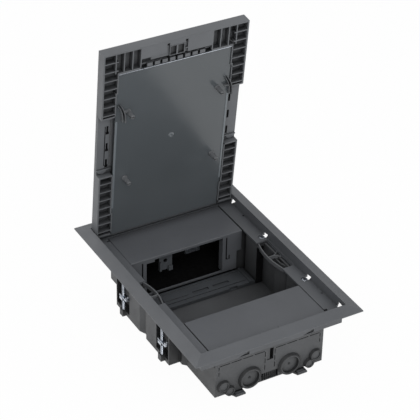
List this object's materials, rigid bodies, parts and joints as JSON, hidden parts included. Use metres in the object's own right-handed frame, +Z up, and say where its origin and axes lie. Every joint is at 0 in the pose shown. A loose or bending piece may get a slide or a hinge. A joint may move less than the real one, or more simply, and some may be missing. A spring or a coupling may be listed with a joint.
{
  "type": "floor socket box",
  "caption": "Rectangular in-floor wiring box: ribbed hinged lid with steel liner, cable outlet flaps and slide latch, sloping trim frame, device hoods and clamping claws.",
  "frame": {"origin": "bottom centre: on the plane the feet stand on, under the middle of the trim frame", "axes": "+Z up out of the floor, +Y towards the lid hinge, +X to the right seen from the front"},
  "size_m": [0.199, 0.276, 0.3104],
  "materials": {
    "frame_plastic": "fine grained moulded thermoplastic",
    "body_plastic": "moulded thermoplastic, slightly rough",
    "inner_plastic": "dark moulded thermoplastic",
    "hood_plastic": "fine grained moulded thermoplastic",
    "lid_plastic": "moulded glass-filled thermoplastic",
    "latch_plastic": "smooth moulded slider",
    "plate_steel": "coated sheet steel, satin gloss",
    "zinc_steel": "bright zinc plated",
    "terminal_metal": "plated terminal block"
  },
  "bodies": {
    "box": {"trim_frame": "frame_plastic", "box_body": "body_plastic", "floor_tray": "inner_plastic", "back_hood": "hood_plastic", "front_hood": "hood_plastic", "earth_terminal": "terminal_metal", "terminal_screw_1": "zinc_steel", "terminal_screw_2": "zinc_steel", "cable_clip": "inner_plastic", "cable_guide_left": "inner_plastic", "cable_guide_right": "inner_plastic", "hinge_pin_left": "zinc_steel", "hinge_pin_right": "zinc_steel"},
    "lid": {"lid_frame": "lid_plastic", "lid_plate": "plate_steel", "lid_peg_1": "lid_plastic", "lid_peg_2": "lid_plastic", "lid_peg_3": "lid_plastic", "lid_peg_4": "lid_plastic", "arc_clip_left": "lid_plastic", "arc_clip_right": "lid_plastic"},
    "latch": {"latch_slider": "latch_plastic"},
    "flap_left": {"outlet_flap_left": "lid_plastic"},
    "flap_right": {"outlet_flap_right": "lid_plastic"},
    "screw_left_back": {"claw_screw_left_back": "zinc_steel"},
    "nut_left_back": {"claw_nut_left_back": "zinc_steel"},
    "claw_left_back": {"claw_left_back": "zinc_steel"},
    "screw_left_front": {"claw_screw_left_front": "zinc_steel"},
    "nut_left_front": {"claw_nut_left_front": "zinc_steel"},
    "claw_left_front": {"claw_left_front": "zinc_steel"},
    "screw_right_back": {"claw_screw_right_back": "zinc_steel"},
    "nut_right_back": {"claw_nut_right_back": "zinc_steel"},
    "claw_right_back": {"claw_right_back": "zinc_steel"},
    "screw_right_front": {"claw_screw_right_front": "zinc_steel"},
    "nut_right_front": {"claw_nut_right_front": "zinc_steel"},
    "claw_right_front": {"claw_right_front": "zinc_steel"}
  },
  "joints": [
    {"name": "lid_hinge", "type": "hinge", "parent": "box", "child": "lid", "pos_m": [0, 0.11794, 0.06944], "axis": [1, 0, 0], "range_deg": [-13.4, 83.6]},
    {"name": "latch_slide", "type": "slide", "parent": "lid", "child": "latch", "axis": [0, 0.1115, -0.9938], "range_m": [0, 0.0025], "stiffness_N_per_m": 400, "springref_m": -0.002},
    {"name": "flap_left_hinge", "type": "hinge", "parent": "lid", "child": "flap_left", "pos_m": [-0.0712, 0.10556, 0.19384], "axis": [0, -0.1115, 0.9938], "range_deg": [-90, 0]},
    {"name": "flap_right_hinge", "type": "hinge", "parent": "lid", "child": "flap_right", "pos_m": [0.0712, 0.10556, 0.19384], "axis": [0, -0.1115, 0.9938], "range_deg": [0, 90]},
    {"name": "screw_left_back_turn", "type": "hinge", "parent": "box", "child": "screw_left_back", "pos_m": [-0.0818, 0.0535, 0.04], "axis": [0, 0, 1], "range_deg": [-3600, 6120]},
    {"name": "nut_left_back_travel", "type": "slide", "parent": "box", "child": "nut_left_back", "axis": [0, 0, 1], "range_m": [-0.008, 0.0136]},
    {"name": "claw_left_back_swing", "type": "hinge", "parent": "nut_left_back", "child": "claw_left_back", "pos_m": [-0.0818, 0.0535, 0.03], "axis": [0, 0, 1], "range_deg": [-90, 0]},
    {"name": "screw_left_front_turn", "type": "hinge", "parent": "box", "child": "screw_left_front", "pos_m": [-0.0818, -0.035, 0.04], "axis": [0, 0, 1], "range_deg": [-3600, 6120]},
    {"name": "nut_left_front_travel", "type": "slide", "parent": "box", "child": "nut_left_front", "axis": [0, 0, 1], "range_m": [-0.008, 0.0136]},
    {"name": "claw_left_front_swing", "type": "hinge", "parent": "nut_left_front", "child": "claw_left_front", "pos_m": [-0.0818, -0.035, 0.03], "axis": [0, 0, 1], "range_deg": [-90, 0]},
    {"name": "screw_right_back_turn", "type": "hinge", "parent": "box", "child": "screw_right_back", "pos_m": [0.0818, 0.0368, 0.04], "axis": [0, 0, 1], "range_deg": [-3600, 6120]},
    {"name": "nut_right_back_travel", "type": "slide", "parent": "box", "child": "nut_right_back", "axis": [0, 0, 1], "range_m": [-0.008, 0.0136]},
    {"name": "claw_right_back_swing", "type": "hinge", "parent": "nut_right_back", "child": "claw_right_back", "pos_m": [0.0818, 0.0368, 0.03], "axis": [0, 0, 1], "range_deg": [-90, 0]},
    {"name": "screw_right_front_turn", "type": "hinge", "parent": "box", "child": "screw_right_front", "pos_m": [0.0818, -0.0525, 0.04], "axis": [0, 0, 1], "range_deg": [-3600, 6120]},
    {"name": "nut_right_front_travel", "type": "slide", "parent": "box", "child": "nut_right_front", "axis": [0, 0, 1], "range_m": [-0.008, 0.0136]},
    {"name": "claw_right_front_swing", "type": "hinge", "parent": "nut_right_front", "child": "claw_right_front", "pos_m": [0.0818, -0.0525, 0.03], "axis": [0, 0, 1], "range_deg": [-90, 0]}
  ],
  "couplings": [
    {"joint": "screw_left_back_turn", "follows": "nut_left_back_travel", "rad_per_m": 7854},
    {"joint": "screw_left_front_turn", "follows": "nut_left_front_travel", "rad_per_m": 7854},
    {"joint": "screw_right_back_turn", "follows": "nut_right_back_travel", "rad_per_m": 7854},
    {"joint": "screw_right_front_turn", "follows": "nut_right_front_travel", "rad_per_m": 7854}
  ]
}
